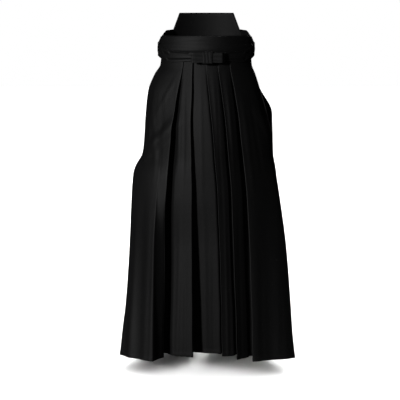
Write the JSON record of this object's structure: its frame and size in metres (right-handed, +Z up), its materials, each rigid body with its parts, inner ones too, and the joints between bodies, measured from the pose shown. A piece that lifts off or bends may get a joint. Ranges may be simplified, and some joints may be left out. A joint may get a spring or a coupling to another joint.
{
  "type": "worn pleated hakama trousers",
  "caption": "Black men's hakama trousers in worn, hollow form: wide divided legs, knife pleats, open sides, wrapped waist ties with a flat bow and a stiff back board.",
  "frame": {"origin": "centre of the wearer's waist, at the middle height of the wrapped ties", "axes": "+Z up the body, -Y towards the front, +X to the wearer's left"},
  "size_m": [0.531, 0.3808, 1.0252],
  "materials": {
    "pleated_cloth": "matte woven black with a faint lengthwise grain",
    "tie_cloth": "matte woven black, pressed flat",
    "board_cloth": "matte woven black over a stiff board"
  },
  "bodies": {
    "root": {"front_right": "pleated_cloth", "front_left": "pleated_cloth", "back_right": "pleated_cloth", "back_left": "pleated_cloth", "gusset_right": "pleated_cloth", "gusset_left": "pleated_cloth", "front_tie_upper_turn": "tie_cloth", "front_tie_lower_turn": "tie_cloth", "back_tie_right": "tie_cloth", "back_tie_left": "tie_cloth", "bow_bar": "tie_cloth", "bow_wrap": "tie_cloth", "back_board": "board_cloth"}
  },
  "joints": []
}
